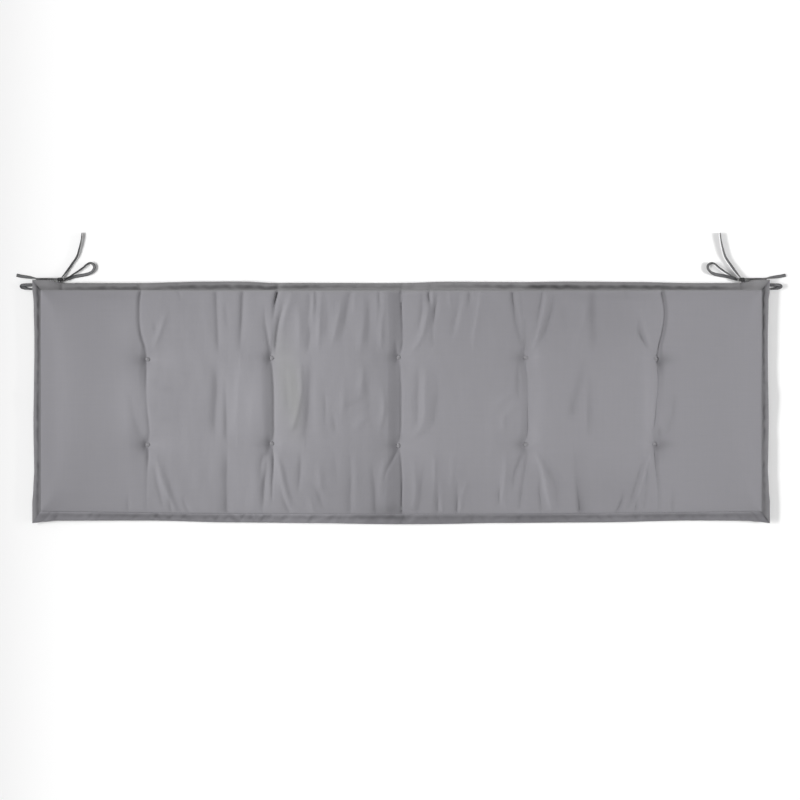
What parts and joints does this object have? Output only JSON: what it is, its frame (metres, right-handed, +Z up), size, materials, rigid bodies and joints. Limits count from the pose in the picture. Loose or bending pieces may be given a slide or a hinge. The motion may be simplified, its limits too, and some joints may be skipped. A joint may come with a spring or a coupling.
{
  "type": "bench cushion",
  "caption": "Long flat tufted bench cushion with a sewn border and tape ties tied in bows at its back corners.",
  "frame": {"origin": "bottom centre of the pad and its border, on the surface that the cushion lies on", "axes": "+X along the cushion's length, +Y across it to the back edge with the ties, +Z up through its thickness"},
  "size_m": [1.5694, 0.5939, 0.0314],
  "materials": {
    "panel_cloth": "plain woven polyester, mid grey, matt with a faint sheen",
    "border_cloth": "plain woven polyester strip, darker grey, matt",
    "tuft_thread": "wound polyester yarn, light grey",
    "tie_tape": "narrow woven tape, dark grey, matt"
  },
  "bodies": {
    "root": {"cushion_pad": "panel_cloth", "border_front": "border_cloth", "border_back": "border_cloth", "border_left": "border_cloth", "border_right": "border_cloth", "tuft_1_back": "tuft_thread", "tuft_1_front": "tuft_thread", "tuft_2_back": "tuft_thread", "tuft_2_front": "tuft_thread", "tuft_3_back": "tuft_thread", "tuft_3_front": "tuft_thread", "tuft_4_back": "tuft_thread", "tuft_4_front": "tuft_thread", "tuft_5_back": "tuft_thread", "tuft_5_front": "tuft_thread", "tie_knot_left": "tie_tape", "tie_root_left": "tie_tape", "tie_tail_side_left": "tie_tape", "tie_tail_back_left": "tie_tape", "tie_bow_left": "tie_tape", "tie_bow_under_left": "tie_tape", "tie_knot_right": "tie_tape", "tie_root_right": "tie_tape", "tie_tail_side_right": "tie_tape", "tie_tail_back_right": "tie_tape", "tie_bow_right": "tie_tape", "tie_bow_under_right": "tie_tape"}
  },
  "joints": []
}
